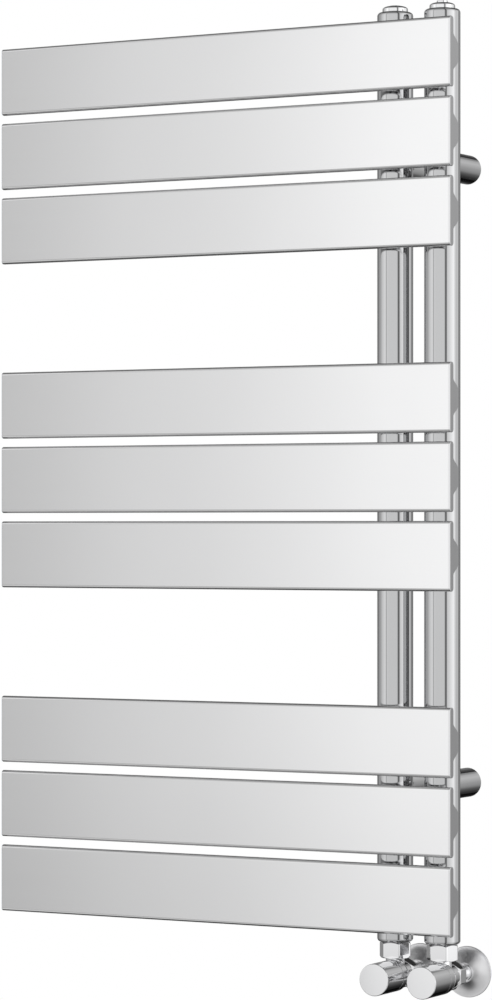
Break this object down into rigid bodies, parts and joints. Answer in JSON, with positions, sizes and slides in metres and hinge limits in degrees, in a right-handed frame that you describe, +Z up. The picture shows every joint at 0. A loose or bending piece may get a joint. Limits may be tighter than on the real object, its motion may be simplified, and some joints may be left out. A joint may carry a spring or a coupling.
{
  "type": "towel radiator with valves",
  "caption": "Wall-hung towel radiator: flat horizontal panels in groups on two upright collectors, with stand-off brackets and corner valves below.",
  "frame": {"origin": "centre of the rectangle of the four wall fixing holes, on the wall plane", "axes": "+X to the right seen from the room, +Y into the wall, +Z up"},
  "size_m": [0.5, 0.1025, 0.9532],
  "materials": {
    "chrome_panels": "bright chrome on flat sheet, faint waviness",
    "chrome_tubes": "bright chrome on tube",
    "chrome_fittings": "mirror chrome on turned brass",
    "brass": "plain turned brass",
    "plain_steel": "zinc-plated steel",
    "black_rubber": "moulded rubber",
    "white_plastic": "moulded plastic"
  },
  "bodies": {
    "radiator": {"panel_1": "chrome_panels", "panel_2": "chrome_panels", "panel_3": "chrome_panels", "panel_4": "chrome_panels", "panel_5": "chrome_panels", "panel_6": "chrome_panels", "panel_7": "chrome_panels", "panel_8": "chrome_panels", "panel_9": "chrome_panels", "panel_end_caps_left": "chrome_panels", "panel_end_caps_right": "chrome_panels", "port_necks": "plain_steel", "collector_left": "chrome_tubes", "collector_right": "chrome_tubes", "collector_top_caps": "chrome_tubes", "collector_bottom_caps": "chrome_tubes", "blanking_plug": "chrome_fittings", "vent_plug": "chrome_fittings", "plug_orings": "black_rubber", "bleed_nozzle": "chrome_fittings", "bracket_sleeve_top_left": "chrome_tubes", "bracket_sleeve_top_right": "chrome_tubes", "bracket_sleeve_bottom_left": "chrome_tubes", "bracket_sleeve_bottom_right": "chrome_tubes", "wall_post_top_left": "plain_steel", "wall_post_top_right": "plain_steel", "wall_post_bottom_left": "plain_steel", "wall_post_bottom_right": "plain_steel", "bracket_grub_screws": "plain_steel", "bracket_bolts": "plain_steel", "collector_bosses": "plain_steel", "tail_washers": "black_rubber", "olives": "brass", "tailpiece_left": "brass", "union_nut_left": "chrome_fittings", "valve_body_left": "chrome_fittings", "headwork_left": "brass", "compression_nut_left": "chrome_fittings", "pipe_stub_left": "chrome_fittings", "tailpiece_right": "brass", "union_nut_right": "chrome_fittings", "valve_body_right": "chrome_fittings", "headwork_right": "brass", "compression_nut_right": "chrome_fittings", "pipe_stub_right": "chrome_fittings"},
    "valve_head_left": {"valve_knob_left": "chrome_fittings", "knob_insert_left": "white_plastic", "spindle_left": "brass", "gland_oring_left": "black_rubber"},
    "valve_plunger_left": {"plunger_left": "brass", "plunger_seal_left": "black_rubber"},
    "cover_flange_left": {"wall_flange_left": "chrome_fittings"},
    "valve_head_right": {"valve_knob_right": "chrome_fittings", "knob_insert_right": "white_plastic", "spindle_right": "brass", "gland_oring_right": "black_rubber"},
    "valve_plunger_right": {"plunger_right": "brass", "plunger_seal_right": "black_rubber"},
    "cover_flange_right": {"wall_flange_right": "chrome_fittings"},
    "vent_screw": {"bleed_screw": "brass"}
  },
  "joints": [
    {"name": "knob_turn_left", "type": "hinge", "parent": "radiator", "child": "valve_head_left", "pos_m": [-0.025, -0.08, -0.47765], "axis": [0, -1, 0], "range_deg": [0, 900]},
    {"name": "plunger_lift_left", "type": "slide", "parent": "radiator", "child": "valve_plunger_left", "axis": [0, -1, 0], "range_m": [0, 0.00376]},
    {"name": "flange_slide_left", "type": "slide", "parent": "radiator", "child": "cover_flange_left", "axis": [0, -1, 0], "range_m": [0, 0.02]},
    {"name": "knob_turn_right", "type": "hinge", "parent": "radiator", "child": "valve_head_right", "pos_m": [0.025, -0.08, -0.47765], "axis": [0, -1, 0], "range_deg": [0, 900]},
    {"name": "plunger_lift_right", "type": "slide", "parent": "radiator", "child": "valve_plunger_right", "axis": [0, -1, 0], "range_m": [0, 0.00376]},
    {"name": "flange_slide_right", "type": "slide", "parent": "radiator", "child": "cover_flange_right", "axis": [0, -1, 0], "range_m": [0, 0.02]},
    {"name": "bleed_screw_turn", "type": "hinge", "parent": "radiator", "child": "vent_screw", "pos_m": [0.025, -0.057, 0.44285], "axis": [0, 0, 1], "range_deg": [0, 360]}
  ],
  "couplings": [
    {"joint": "plunger_lift_left", "follows": "knob_turn_left", "m_per_rad": 0.00023873},
    {"joint": "plunger_lift_right", "follows": "knob_turn_right", "m_per_rad": 0.00023873}
  ]
}
